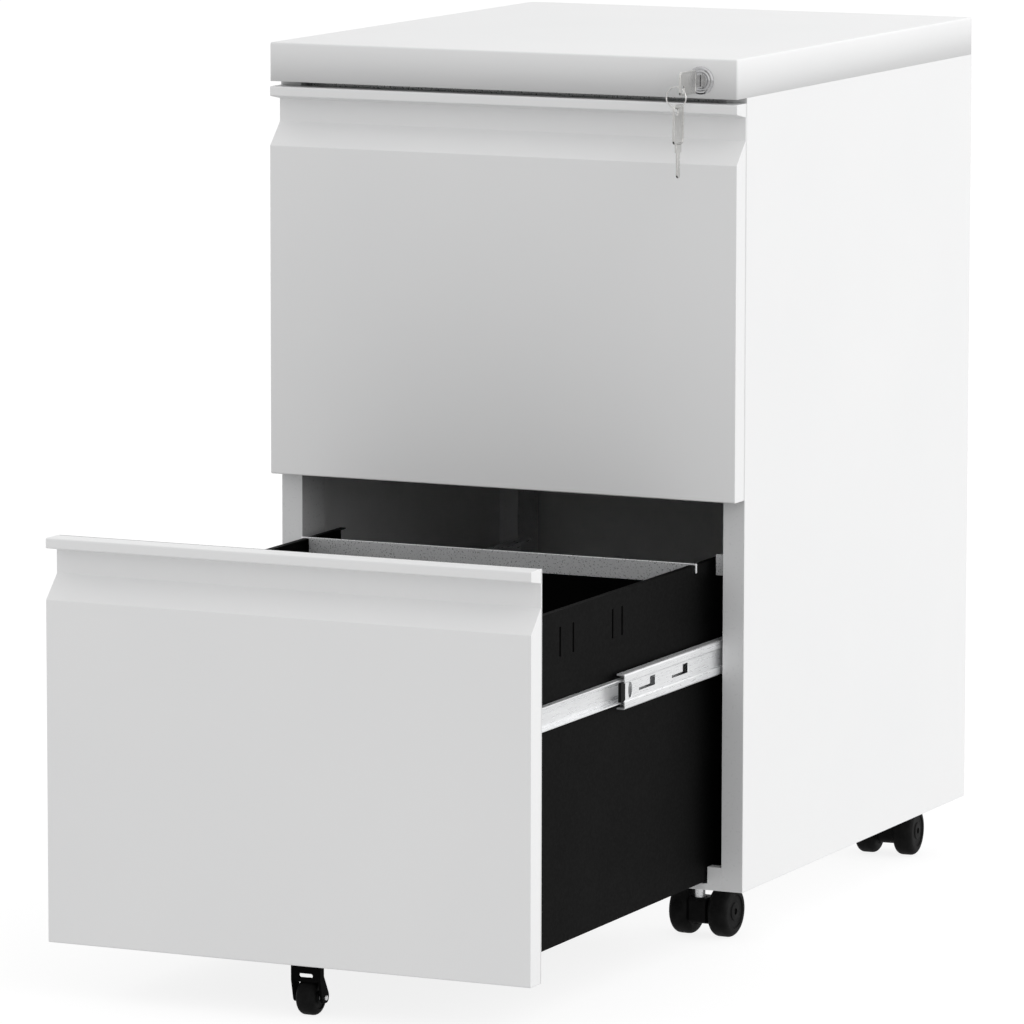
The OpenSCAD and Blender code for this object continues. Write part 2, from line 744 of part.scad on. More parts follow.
module fifth_caster_wheel() color(BLACK) at_fifth_caster()
    translate([-fifth_wheel_w / 2, 0, fifth_r]) rotate([0, 90, 0]) rotate_extrude()
        wheel_section(fifth_r, fifth_wheel_w, fifth_round, fifth_axle_r + running);

top_cover();
side_panel_left();
side_panel_right();
back_panel();
base_pan();
base_front_rail();
front_upright_left();
front_upright_right();
rear_upright_left();
rear_upright_right();
front_top_rail();
rear_top_rail();
panel_screws();
slide_outer_upper_left();
slide_outer_upper_right();
slide_outer_lower_left();
slide_outer_lower_right();
slide_middle_upper_left();
slide_middle_upper_right();
slide_middle_lower_left();
slide_middle_lower_right();
slide_inner_upper();
slide_inner_lower();
upper_drawer_front();
upper_drawer_liner();
upper_drawer_side_left();
upper_drawer_side_right();
upper_drawer_bottom();
upper_drawer_back();
upper_hanging_bars();
upper_lock_catch();
lower_drawer_front();
lower_drawer_liner();
lower_drawer_side_left();
lower_drawer_side_right();
lower_drawer_bottom();
lower_drawer_back();
lower_hanging_bars();
lower_lock_catch();
lock_housing();
lock_nut();
lock_plug();
lock_cam();
lock_bar();
lock_bar_guides();
key();
key_ring();
spare_key();
caster_stems();
caster_housing_front_left();
caster_housing_front_right();
caster_housing_rear_left();
caster_housing_rear_right();
caster_wheels_front_left();
caster_wheels_front_right();
caster_wheels_rear_left();
caster_wheels_rear_right();
fifth_caster_bracket();
fifth_caster_axle();
fifth_caster_wheel();
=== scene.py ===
import json
import math

import bmesh
import bpy
from mathutils import Matrix, Quaternion, Vector

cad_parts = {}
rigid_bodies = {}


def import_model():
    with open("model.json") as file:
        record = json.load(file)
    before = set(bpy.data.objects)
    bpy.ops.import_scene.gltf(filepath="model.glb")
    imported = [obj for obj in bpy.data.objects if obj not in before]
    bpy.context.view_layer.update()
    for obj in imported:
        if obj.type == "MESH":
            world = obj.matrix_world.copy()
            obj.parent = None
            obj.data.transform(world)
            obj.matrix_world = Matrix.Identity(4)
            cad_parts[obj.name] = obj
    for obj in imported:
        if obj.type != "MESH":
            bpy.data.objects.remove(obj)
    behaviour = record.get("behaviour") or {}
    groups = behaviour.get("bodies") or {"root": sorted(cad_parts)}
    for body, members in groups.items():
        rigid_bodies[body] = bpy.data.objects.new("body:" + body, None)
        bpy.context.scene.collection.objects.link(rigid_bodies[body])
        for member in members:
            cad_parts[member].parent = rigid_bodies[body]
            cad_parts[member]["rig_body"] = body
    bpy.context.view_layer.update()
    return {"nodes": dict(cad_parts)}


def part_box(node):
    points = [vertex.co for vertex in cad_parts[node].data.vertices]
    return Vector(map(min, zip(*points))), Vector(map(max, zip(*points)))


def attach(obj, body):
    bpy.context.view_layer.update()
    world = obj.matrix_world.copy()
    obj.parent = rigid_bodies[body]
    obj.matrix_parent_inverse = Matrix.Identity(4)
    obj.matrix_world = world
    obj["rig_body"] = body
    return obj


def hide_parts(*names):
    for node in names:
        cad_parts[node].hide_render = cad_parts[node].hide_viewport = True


# Mobile filing cabinet with two file drawers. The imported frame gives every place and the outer
# sizes; the looks are built here. A piece is drawn in millimetres and scaled when it is made; the
# camera, the floor and the light are placed in metres.
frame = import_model()

MM = 0.001
SIDES = {"left": -1, "right": 1}
LEVELS = ("upper", "lower")
CORNERS = ("front_left", "front_right", "rear_left", "rear_right")


def span(node):
    """Lowest and highest corner of a CAD node, in millimetres."""
    lo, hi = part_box(node)
    return lo / MM, hi / MM


# ---- camera, floor and light ---------------------------------------------------------------------

CAMERA_PLACE = (2.3594, -5.3117, 1.1187)
CAMERA_TURN = (81.921, -0.094, 24.903)
CAMERA_LENS = 260.1
FLOOR_HALF = 60.0
FLOOR_TONE = 0.2
FLOOR_SEEN = 0.85           # floor's own glow in the picture
FLOOR_THROWN = 0.46         # floor's own glow in the light that reaches the cabinet
LIGHT_LEVEL = 0.92
LIGHT_SLOPES = (("X", 0.22), ("Y", 0.10), ("Z", 0.05))
SOFTBOX_PLACE = (4.0, 1.4, 1.0)
SOFTBOX_SIZE = 3.0
SOFTBOX_POWER = 52.0


def make_camera():
    data = bpy.data.cameras.new("camera")
    data.lens = CAMERA_LENS
    data.sensor_width = 36.0
    data.clip_end = 500.0
    camera = bpy.data.objects.new("camera", data)
    camera.location = CAMERA_PLACE
    camera.rotation_euler = [math.radians(a) for a in CAMERA_TURN]
    bpy.context.scene.collection.objects.link(camera)
    bpy.context.scene.camera = camera


# ---- node helpers --------------------------------------------------------------------------------

def new_material(name):
    """A node material and its shader."""
    material = bpy.data.materials.new(name)
    material.use_nodes = True
    return material, material.node_tree.nodes["Principled BSDF"]


def add(tree, kind, **inputs):
    """A node with some of its inputs set. Underscores in an input's name stand for spaces."""
    node = tree.nodes.new(kind)
    for key, value in inputs.items():
        node.inputs[key.replace("_", " ")].default_value = value
    return node


def object_space(tree, stretch=(1.0, 1.0, 1.0)):
    """Object coordinates in metres, scaled along each axis."""
    place = tree.nodes.new("ShaderNodeTexCoord")
    scale = add(tree, "ShaderNodeMapping", Scale=stretch)
    tree.links.new(place.outputs["Object"], scale.inputs["Vector"])
    return scale.outputs["Vector"]


def noise(tree, size, detail=2.0, roughness=0.5, stretch=(1.0, 1.0, 1.0)):
    """Noise whose blobs are about size millimetres across; stretch above 1 shortens them."""
    node = add(tree, "ShaderNodeTexNoise", Scale=1.0 / (size * MM), Detail=detail, Roughness=roughness)
    tree.links.new(object_space(tree, stretch), node.inputs["Vector"])
    return node.outputs["Fac"]


def ramp(tree, fac, stops):
    """Maps a value to greys or colours given as (position, colour) stops."""
    node = tree.nodes.new("ShaderNodeValToRGB")
    ends = node.color_ramp.elements
    while len(ends) < len(stops):
        ends.new(0.5)
    for end, (position, colour) in zip(ends, stops):
        end.position = position
        end.color = (*colour, 1.0) if hasattr(colour, "__len__") else (colour, colour, colour, 1.0)
    tree.links.new(fac, node.inputs["Fac"])
    return node.outputs["Color"]


def bump(tree, shader, layers):
    """Stacks bump layers, each (height, depth in millimetres, strength), onto a shader."""
    last = None
    for height, depth, strength in layers:
        node = add(tree, "ShaderNodeBump", Strength=strength, Distance=depth * MM)
        tree.links.new(height, node.inputs["Height"])
        if last:
            tree.links.new(last.outputs["Normal"], node.inputs["Normal"])
        last = node
    tree.links.new(last.outputs["Normal"], shader.inputs["Normal"])


# ---- finishes, one for each material slot --------------------------------------------------------

def white_paint():
    """Satin powder coat: fine orange peel, a trace of tone from place to place."""
    material, shader = new_material("white_paint_look")
    tree = material.node_tree
    tone = ramp(tree, noise(tree, 160, 3), [(0.3, (0.845, 0.847, 0.85)), (0.7, (0.86, 0.861, 0.862))])
    tree.links.new(tone, shader.inputs["Base Color"])
    gloss = ramp(tree, noise(tree, 3.0, 3), [(0.3, 0.36), (0.7, 0.44)])
    tree.links.new(gloss, shader.inputs["Roughness"])
    shader.inputs["Specular IOR Level"].default_value = 0.4
    bump(tree, shader, [(noise(tree, 1.1, 2), 0.02, 0.35), (noise(tree, 0.35, 1), 0.006, 0.4)])
    return material


def post_paint():
    """The same satin coat as the white paint, made a shade greyer: painted shade on the carcass's inner
    parts.
    """
    material, shader = new_material("post_paint_shaded_look")
    tree = material.node_tree
    # greyer than the white coat: this grey is painted shade, not a different paint
    tone = ramp(tree, noise(tree, 90, 3), [(0.3, (0.70, 0.705, 0.71)), (0.7, (0.73, 0.733, 0.737))])
    tree.links.new(tone, shader.inputs["Base Color"])
    gloss = ramp(tree, noise(tree, 2.4, 3), [(0.3, 0.26), (0.7, 0.34)])
    tree.links.new(gloss, shader.inputs["Roughness"])
    bump(tree, shader, [(noise(tree, 1.1, 2), 0.02, 0.3), (noise(tree, 0.35, 1), 0.006, 0.3)])
    return material


def black_paint():
    """Matt black powder coat with a fine texture."""
    material, shader = new_material("black_paint_look")
    tree = material.node_tree
    tone = ramp(tree, noise(tree, 60, 4), [(0.3, 0.0022), (0.7, 0.0036)])
    tree.links.new(tone, shader.inputs["Base Color"])
    gloss = ramp(tree, noise(tree, 2.0, 3), [(0.3, 0.5), (0.7, 0.62)])
    tree.links.new(gloss, shader.inputs["Roughness"])
    shader.inputs["Specular IOR Level"].default_value = 0.03
    bump(tree, shader, [(noise(tree, 0.7, 3), 0.02, 0.5)])
    return material


def rolled_metal(name, tones, gloss, streak, size, metallic=1.0):
    """Bright metal with rolling streaks along one axis, and fine grain."""
    material, shader = new_material(name)
    tree = material.node_tree
    shader.inputs["Metallic"].default_value = metallic
    stretched = noise(tree, size, 3, 0.6, streak)
    tone = ramp(tree, stretched, [(0.3, tones[0]), (0.7, tones[1])])
    tree.links.new(tone, shader.inputs["Base Color"])
    rough = ramp(tree, stretched, [(0.25, gloss[0]), (0.75, gloss[1])])
    tree.links.new(rough, shader.inputs["Roughness"])
    streaks = noise(tree, size, 3, 0.6, streak)
    bump(tree, shader, [(streaks, 0.01, 0.25), (noise(tree, 0.5, 2), 0.004, 0.3)])
    return material


def zinc():
    return rolled_metal("zinc_look", ((0.86, 0.87, 0.88), (0.93, 0.935, 0.94)), (0.24, 0.36),
                        (1.0, 0.06, 1.0), 1.2, 0.6)


def chrome():
    return rolled_metal("chrome_look", ((0.50, 0.50, 0.51), (0.60, 0.60, 0.61)), (0.08, 0.16),
                        (1.0, 1.0, 1.0), 2.5)


def nickel():
    return rolled_metal("nickel_look", ((0.64, 0.635, 0.62), (0.76, 0.755, 0.74)), (0.16, 0.28),
                        (1.0, 1.0, 0.15), 0.8)


def moulded(name, tones, gloss, grain):
    """Black moulded plastic with a fine spark-eroded grain."""
    material, shader = new_material(name)
    tree = material.node_tree
    tone = ramp(tree, noise(tree, 8, 4), [(0.3, tones[0]), (0.7, tones[1])])
    tree.links.new(tone, shader.inputs["Base Color"])
    rough = ramp(tree, noise(tree, 1.5, 3), [(0.3, gloss[0]), (0.7, gloss[1])])
    tree.links.new(rough, shader.inputs["Roughness"])
    shader.inputs["Specular IOR Level"].default_value = 0.06
    bump(tree, shader, [(noise(tree, grain, 2), 0.02, 0.5)])
    return material


def nylon():
    return moulded("nylon_look", (0.003, 0.006), (0.38, 0.5), 0.5)


def wheel_nylon():
    return moulded("wheel_nylon_look", (0.004, 0.009), (0.42, 0.58), 0.7)


FINISHES = {
    "white_paint": white_paint(), "post_paint": post_paint(), "black_paint": black_paint(),
    "zinc": zinc(), "chrome": chrome(), "nickel": nickel(), "nylon": nylon(),
    "wheel_nylon": wheel_nylon(),
}


def make_floor():
    """Pale floor with a faint shadow: bright to look at, dimmer in the light it throws back."""
    data = bpy.data.meshes.new("floor")
    h = FLOOR_HALF
    data.from_pydata([(-h, -h, 0), (h, -h, 0), (h, h, 0), (-h, h, 0)], [], [(0, 1, 2, 3)])
    floor = bpy.data.objects.new("floor", data)
    bpy.context.scene.collection.objects.link(floor)
    material, shader = new_material("floor_look")
    shader.inputs["Base Color"].default_value = (FLOOR_TONE, FLOOR_TONE, FLOOR_TONE, 1.0)
    shader.inputs["Roughness"].default_value = 0.9
    shader.inputs["Specular IOR Level"].default_value = 0.0
    shader.inputs["Emission Color"].default_value = (1.0, 1.0, 1.0, 1.0)
    tree = material.node_tree
    path = tree.nodes.new("ShaderNodeLightPath")
    glow = tree.nodes.new("ShaderNodeMath")
    glow.operation = "MULTIPLY_ADD"
    glow.inputs[1].default_value = FLOOR_SEEN - FLOOR_THROWN
    glow.inputs[2].default_value = FLOOR_THROWN
    tree.links.new(path.outputs["Is Camera Ray"], glow.inputs[0])
    tree.links.new(glow.outputs["Value"], shader.inputs["Emission Strength"])
    data.materials.append(material)


def make_light():
    """Soft studio surround, brighter on the cabinet's right and above than in front."""
    scene = bpy.context.scene
    scene.view_settings.view_transform = "Standard"
    world = bpy.data.worlds.new("studio")
    scene.world = world
    world.use_nodes = True
    tree = world.node_tree
    place = tree.nodes.new("ShaderNodeTexCoord")
    split = tree.nodes.new("ShaderNodeSeparateXYZ")
    tree.links.new(place.outputs["Generated"], split.inputs["Vector"])
    total = None
    for axis, slope in LIGHT_SLOPES:
        part = tree.nodes.new("ShaderNodeMath")
        part.operation = "MULTIPLY_ADD"
        part.inputs[1].default_value = slope
        part.inputs[2].default_value = LIGHT_LEVEL
        tree.links.new(split.outputs[axis], part.inputs[0])
        if total:
            tree.links.new(total.outputs["Value"], part.inputs[2])
        total = part
    background = tree.nodes["Background"]
    tree.links.new(total.outputs["Value"], background.inputs["Strength"])
    background.inputs["Color"].default_value = (1.0, 1.0, 1.0, 1.0)
    data = bpy.data.lights.new("softbox", "AREA")
    data.shape = "SQUARE"
    data.size = SOFTBOX_SIZE
    data.energy = SOFTBOX_POWER
    softbox = bpy.data.objects.new("softbox", data)
    softbox.location = SOFTBOX_PLACE
    softbox.rotation_euler = (0.0, math.radians(90), 0.0)
    scene.collection.objects.link(softbox)


# ---- mesh helpers --------------------------------------------------------------------------------

PLANES = {
    "X": lambda a, b, h: (h, a, b),
    "Y": lambda a, b, h: (a, h, b),
    "Z": lambda a, b, h: (a, b, h),
}


def arc(centre, radius, start, end, steps=8):
    """Points of an arc, with its angles in degrees."""
    turns = [math.radians(start + (end - start) * k / steps) for k in range(steps + 1)]
    return [(centre[0] + radius * math.cos(t), centre[1] + radius * math.sin(t)) for t in turns]


def corner(a, b, c, radius, steps):
    """Arc that rounds corner b between a and c, as (point, direction of travel) pairs."""
    a, b, c = Vector(a), Vector(b), Vector(c)
    u, v = (a - b).normalized(), (c - b).normalized()
    half = u.angle(v) / 2
    if radius <= 0 or half > math.pi / 2 - 0.01:
        return [(b, (v - u).normalized())]
    centre = b + (u + v).normalized() * radius / math.sin(half)
    start = b + u * radius / math.tan(half) - centre
    side = 1 if u.x * v.y - u.y * v.x < 0 else -1
    turn = side * (math.pi - 2 * half)
    points = []
    for k in range(steps + 1):
        spin = Matrix.Rotation(turn * k / steps, 2)
        points.append((centre + spin @ start, spin @ -u))
    return points


def rounded(points, radius, steps=4):
    """Closed outline whose corners are arcs: one radius for all, or one for each corner."""
    radii = radius if hasattr(radius, "__len__") else [radius] * len(points)
    outline = []
    for i, r in enumerate(radii):
        after = points[(i + 1) % len(points)]
        outline += [tuple(p) for p, _ in corner(points[i - 1], points[i], after, r, steps)]
    return outline


def bent_strip(path, thickness, bend, steps=5):
    """Outline of a sheet folded along an open path, with bends of that centre-line radius."""
    first, last = Vector(path[0]), Vector(path[-1])
    line = [(first, (Vector(path[1]) - first).normalized())]
    for i in range(1, len(path) - 1):
        line += corner(path[i - 1], path[i], path[i + 1], bend, steps)
    line.append((last, (last - Vector(path[-2])).normalized()))
    half = thickness / 2
    near = [(p.x - d.y * half, p.y + d.x * half) for p, d in line]
    far = [(p.x + d.y * half, p.y - d.x * half) for p, d in line]
    return near + far[::-1]


def plate(bm, outline, axis, lo, hi, holes=()):
    """Closed plate: an outline with holes, drawn across an axis and extruded from lo to hi."""
    place = PLANES[axis]
    ends = []
    for height in (lo, hi):
        loops = []
        for loop in (outline, *holes):
            verts = [bm.verts.new(place(a, b, height)) for a, b in loop]
            edges = [bm.edges.new((verts[i - 1], verts[i])) for i in range(len(verts))]
            loops.append((verts, edges))
        if holes:
            bmesh.ops.triangle_fill(bm, use_beauty=True, edges=[e for _, es in loops for e in es])
        else:
            bm.faces.new(loops[0][0])
        ends.append(loops)
    for (low, _), (high, _) in zip(*ends):
        for i in range(len(low)):
            bm.faces.new((low[i - 1], low[i], high[i], high[i - 1]))


def block(bm, lo, hi):
    """Box between two corners."""
    outline = [(lo[0], lo[1]), (hi[0], lo[1]), (hi[0], hi[1]), (lo[0], hi[1])]
    plate(bm, outline, "Z", lo[2], hi[2])


def lathe(bm, profile, origin, axis, steps=48):
    """Turns a closed (radius, along) profile about an axis through origin."""
    spin = Vector((0, 0, 1)).rotation_difference(Vector(axis))
    rings = []
    for k in range(steps):
        turn = Quaternion((0, 0, 1), 2 * math.pi * k / steps)
        section = [spin @ (turn @ Vector((r, 0, h))) for r, h in profile]
        rings.append([bm.verts.new(Vector(origin) + p) for p in section])
    count = len(profile)
    for k in range(steps):
        near, far = rings[k - 1], rings[k]
        for i in range(count):
            if profile[i - 1][0] < 1e-6 and profile[i][0] < 1e-6:
                continue
            bm.faces.new((near[i - 1], near[i], far[i], far[i - 1]))
    bmesh.ops.remove_doubles(bm, verts=[v for ring in rings for v in ring], dist=1e-4)


def wire(bm, points, radius, sides=10, closed=False):
    """Round wire along a line of points."""
    points = [Vector(p) for p in points]
    count = len(points)
    rings = []
    side = None
    for i, p in enumerate(points):
        before = points[i - 1] if closed or i else p
        after = points[(i + 1) % count] if closed or i < count - 1 else p
        along = (after - before).normalized()
        if side is None:
            side = along.orthogonal().normalized()
        side = (side - along * side.dot(along)).normalized()
        up = along.cross(side)
        turns = [2 * math.pi * k / sides for k in range(sides)]
        rim = [radius * (math.cos(t) * side + math.sin(t) * up) for t in turns]
        rings.append([bm.verts.new(p + offset) for offset in rim])
    for i in range(0 if closed else 1, count):
        for k in range(sides):
            bm.faces.new((rings[i - 1][k - 1], rings[i - 1][k], rings[i][k], rings[i][k - 1]))
    if not closed:
        bm.faces.new(rings[0])
        bm.faces.new(rings[-1])


def soften(obj, width, segments=2, angle=28.0):
    """Rounds an object's edges by that many millimetres."""
    bevel = obj.modifiers.new("edges", "BEVEL")
    bevel.width = width * MM
    bevel.segments = segments
    bevel.limit_method = "ANGLE"
    bevel.angle_limit = math.radians(angle)
    bevel.use_clamp_overlap = True
    flats = obj.modifiers.new("flats", "WEIGHTED_NORMAL")
    flats.keep_sharp = True


def piece(name, bm, body, finish, stands_for=(), edge=0.0, segments=2):
    """Makes a mesh piece in its finish, on its body, in place of the CAD nodes it stands for."""
    bmesh.ops.recalc_face_normals(bm, faces=bm.faces)
    bmesh.ops.scale(bm, vec=(MM, MM, MM), verts=bm.verts)
    mesh = bpy.data.meshes.new(name)
    bm.to_mesh(mesh)
    bm.free()
    mesh.shade_smooth()
    mesh.set_sharp_from_angle(angle=math.radians(32))
    mesh.materials.append(FINISHES[finish])
    obj = bpy.data.objects.new(name, mesh)
    bpy.context.scene.collection.objects.link(obj)
    if edge:
        soften(obj, edge, segments)
    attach(obj, body)
    if stands_for:
        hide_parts(*stands_for)
    return obj


def body_of(node):
    return frame["nodes"][node]["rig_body"]


def slot_of(node):
    return frame["nodes"][node].data.materials[0].name


# ---- folded sheet: carcass and drawer boxes ------------------------------------------------------

SHEET = 0.8
COVER_EDGE = 1.6            # radius of the cover's folded edges
FOLD_SLACK = 2.0            # gap between the cover's fold under the front and the side panels
FRONT_EDGE = 1.2            # radius of the drawer fronts' folds


def folded(node, edge=0.3, trim=0.0):
    """A sheet part just as the frame has it, with its flat faces joined and its edges rounded.

    With a trim, it is made that much narrower on each side.
    """
    bm = bmesh.new()
    bm.from_mesh(frame["nodes"][node].data)
    bmesh.ops.remove_doubles(bm, verts=bm.verts, dist=1e-6)
    bmesh.ops.dissolve_limit(bm, angle_limit=math.radians(0.5), verts=bm.verts, edges=bm.edges)
    narrow = 1 - trim / span(node)[1].x
    bmesh.ops.scale(bm, vec=(narrow / MM, 1 / MM, 1 / MM), verts=bm.verts)
    piece(node + "_sheet", bm, body_of(node), slot_of(node), (node,), edge)


def top_cover():
    """Cover pressed from one sheet: flat top, four sides with soft edges, a fold under the front."""
    lo, hi = span("top_cover")
    bm = bmesh.new()
    corners = [(lo.x, lo.y), (hi.x, lo.y), (hi.x, hi.y), (lo.x, hi.y)]
    low = [bm.verts.new((x, y, lo.z)) for x, y in corners]
    high = [bm.verts.new((x, y, hi.z)) for x, y in corners]
    for i in range(4):
        bm.faces.new((low[i - 1], low[i], high[i], high[i - 1]))
    bm.faces.new(high)
    folds = [e for e in bm.edges if any(v in high for v in e.verts)]
    bmesh.ops.bevel(bm, geom=folds, offset=COVER_EDGE, segments=5, profile=0.5, affect="EDGES")
    bmesh.ops.recalc_face_normals(bm, faces=bm.faces)
    shell = piece("top_cover_shell", bm, "cabinet", "white_paint", ("top_cover",))
    sheet = shell.modifiers.new("sheet", "SOLIDIFY")
    sheet.thickness = SHEET * MM
    sheet.offset = -1
    fold_d = -span("upper_drawer_front")[0].y + span("side_panel_right")[0].y - FOLD_SLACK
    bm = bmesh.new()
    block(bm, (lo.x + SHEET, lo.y + SHEET, lo.z), (hi.x - SHEET, lo.y + fold_d, lo.z + SHEET))
    piece("top_cover_fold", bm, "cabinet", "white_paint", (), 0.25)


RIM = 1.0                   # the front skin's rim, which laps the edges of the liner
LIP_H = 7.5
LIP_DROP = 3.0
RECESS_D = 17.0
RECESS_H = 28.0
BEVEL_H = 45.5


def drawer_front(level):
    """Front folded from one sheet: lip, finger recess, bevel and face panel."""
    node = level + "_drawer_front"
    lo, hi = span(node)
    y0, y1 = lo.y, hi.y
    top = hi.z
    outline = [
        (y1, top), (y0, top), (y0, top - LIP_H), (y0 + RECESS_D, top - LIP_H - LIP_DROP),
        (y0 + RECESS_D, top - RECESS_H), (y0, top - BEVEL_H), (y0, lo.z), (y1, lo.z),
    ]
    folds = (0, FRONT_EDGE, FRONT_EDGE, FRONT_EDGE, FRONT_EDGE, FRONT_EDGE, FRONT_EDGE, 0)
    bm = bmesh.new()
    plate(bm, rounded(outline, folds, 5), "X", lo.x, hi.x)
    liner_back = span(level + "_drawer_liner")[1].y
    for s in SIDES.values():
        x0, x1 = sorted((s * (hi.x - RIM), s * hi.x))
        block(bm, (x0, y1 - RIM, lo.z), (x1, liner_back, top))
    piece(node + "_skin", bm, level + "_drawer", "white_paint", (node,), 0.35)


CARRIED = [
    "side_panel_left", "side_panel_right", "back_panel", "base_pan", "base_front_rail",
    "front_upright_left", "front_upright_right", "rear_upright_left", "rear_upright_right",
    "front_top_rail", "rear_top_rail", "lock_bar", "lock_bar_guides",
]
CARRIED += [f"{level}_drawer_{part}" for level in LEVELS
            for part in ("side_left", "side_right", "bottom", "back")]
CARRIED += [f"{level}_{part}" for level in LEVELS for part in ("hanging_bars", "lock_catch")]


# ---- slides --------------------------------------------------------------------------------------

SLIDE_SPACE = 12.5          # from the drawer side to the upright
RACE = 1.2                  # sheet of the slide members
WEB = 0.5                   # sheet of the middle member's web
OUTER_IN = 21.0             # the outer member is cut back by this much in front, where the post hides it
BALL_R = 1.5


def slide_section(points, bend):
    """Section of a slide member, from the (across, height) path of one half, top to middle."""
    path = [(u, v) for u, v in points] + [(u, -v) for u, v in reversed(points)]
    return bent_strip(path, RACE, bend)


def placed(outline, side, box_x, mid_z):
    """Section drawn from the drawer side outwards, moved to its place on that side."""
    return [(side * (box_x + u), mid_z + v) for u, v in outline]


def outer_member(level, side):
    node = f"slide_outer_{level}_{side}"
    lo, hi = span(node)
    box_x = span("upper_drawer_side_right")[1].x
    half = (hi.z - lo.z - RACE) / 2
    wall = SLIDE_SPACE - RACE / 2
    reach = 2.6
    lip = 1.6
    bm = bmesh.new()
    section = slide_section([(reach, half - lip), (reach, half), (wall, half)], 1.3)
    plate(bm, placed(section, SIDES[side], box_x, (lo.z + hi.z) / 2), "Y", lo.y + OUTER_IN, hi.y)
    piece(node + "_rolled", bm, "cabinet", "zinc", (node,), 0.2)


def middle_member(level, side):
    """Sunk web between two shoulders, with a stop, two L slots and a black nylon bumper in front, which
    also gives the painted shade of the gap at the member's front end.
    """
    node = f"slide_middle_{level}_{side}"
    body = node
    lo, hi = span(node)
    s = SIDES[side]
    box_x = span("upper_drawer_side_right")[1].x
    mid_z = (lo.z + hi.z) / 2
    half = (hi.z - lo.z - RACE) / 2
    web_u = 7.9
    shoulder_u = 9.2
    flange_u = 3.0
    web_half = 7.4
    flange = [(flange_u, half), (shoulder_u, half), (shoulder_u, web_half)]
    bm = bmesh.new()
    for m in (1, -1):
        path = [(u, m * v) for u, v in flange] + [(web_u + RACE / 2, m * (web_half - 0.6))]
        plate(bm, placed(bent_strip(path, RACE, 1.0), s, box_x, mid_z), "Y", lo.y, hi.y)
    y0 = lo.y
    stop = arc((y0 + 20.5, mid_z), 11.5, 212, 148) + arc((y0 + 7.2, mid_z), 8.8, 39, -39)
    holes = [stop]
    tail = -20.0
    slot_w = 9.6
    slot_low, tail_top, slot_top = -2.8, -0.8, 4.7
    lance = [(tail, slot_low), (slot_w, slot_low), (slot_w, slot_top), (0, slot_top),
             (0, tail_top), (tail, tail_top)]
    for slot_y in (y0 + 48.5, y0 + 109):
        holes.append([(slot_y + a, mid_z + b) for a, b in lance])
    rivet_in = 14
    holes.append(arc((hi.y - rivet_in, mid_z), 3.0, 0, 337.5, 15))
    web_low, web_top = mid_z - web_half, mid_z + web_half
    web = [(y0, web_low), (hi.y, web_low), (hi.y, web_top), (y0, web_top)]
    web_face = web_u + RACE / 2
    x0, x1 = sorted((s * (box_x + web_face - WEB), s * (box_x + web_face)))
    plate(bm, web, "X", x0, x1, holes)
    piece(node + "_rolled", bm, body, "zinc", (node,), 0.2)
    # black nylon bumper in front of the member: its black also stands for the shade in the gap there, as
    # painted shade
    bm = bmesh.new()
    x0, x1 = sorted((s * (box_x + web_u - 1.3), s * (box_x + web_u + 1.1)))
    nose, heel = y0 - 5.5, y0 + 2.4
    bumper_and_gap_shade = rounded([(nose, web_low), (heel, web_low), (heel, web_top), (nose, web_top)], 1.2)
    plate(bm, bumper_and_gap_shade, "X", x0, x1)
    piece(node + "_bumper", bm, body, "nylon", (), 0.3)


def inner_members(level):
    node = f"slide_inner_{level}"
    lo, hi = span(node)
    box_x = span("upper_drawer_side_right")[1].x
    mid_z = (lo.z + hi.z) / 2
    half = (hi.z - lo.z - RACE) / 2
    bm = bmesh.new()
    for s in SIDES.values():
        section = slide_section([(6.2, half), (RACE / 2, half)], 1.1)
        plate(bm, placed(section, s, box_x, mid_z), "Y", lo.y, hi.y)
    piece(node + "_rolled", bm, level + "_drawer", "zinc", (node,), 0.2)
    bm = bmesh.new()
    for s in SIDES.values():
        for y in (lo.y + 35, hi.y - 40):
            screw(bm, (s * (box_x + RACE), y, mid_z), (s, 0, 0), 3.4)
    piece(node + "_screws", bm, level + "_drawer", "zinc")


def screw(bm, place, axis, radius):
    """Pan head with a round dimple in the middle."""
    dome = [(0, 0), (radius, 0), (radius, 0.5)]
    dome += [(radius * math.cos(t), 0.5 + 0.9 * math.sin(t)) for t in (0.35, 0.75, 1.15)]
    dome += [(radius * 0.3, 1.38), (radius * 0.12, 0.7), (0, 0.7)]
    lathe(bm, dome, place, axis, 20)


def ball_cages(level, side):
    """Two ball cages: one between outer and middle member, one between middle and inner."""
    outer_half = 17.5
    middle_half = 13.25
    inner_half = 9.0
    node = f"slide_middle_{level}_{side}"
    lo, hi = span(node)
    s = SIDES[side]
    box_x = span("upper_drawer_side_right")[1].x
    mid_z = (lo.z + hi.z) / 2
    outer_gap = (outer_half - RACE + middle_half) / 2
    inner_gap = (middle_half - RACE + inner_half) / 2
    pitch = 9
    rows = (("outer", outer_gap, hi.y - 150, hi.y - 12, 6.6, 4.6),
            ("inner", inner_gap, lo.y + 6, lo.y + 144, 4.6, 3.4))
    strip_half = 0.3
    for label, height, y0, y1, middle_u, reach in rows:
        bm = bmesh.new()
        for m in (1, -1):
            z = mid_z + m * height
            edges = (box_x + middle_u - reach / 2, box_x + middle_u + reach / 2)
            x0, x1 = sorted(s * x for x in edges)
            block(bm, (x0, y0, z - strip_half), (x1, y1, z + strip_half))
            for k in range(int((y1 - y0 - 8) // pitch) + 1):
                centre = (s * (box_x + middle_u), y0 + 5 + pitch * k, z)
                bmesh.ops.create_icosphere(
                    bm, subdivisions=2, radius=BALL_R, matrix=Matrix.Translation(centre))
        piece(f"{node}_{label}_balls", bm, node, "zinc")


# ---- lock and keys -------------------------------------------------------------------------------

PLUG_R = 6.0
PLUG_SLACK = 0.05


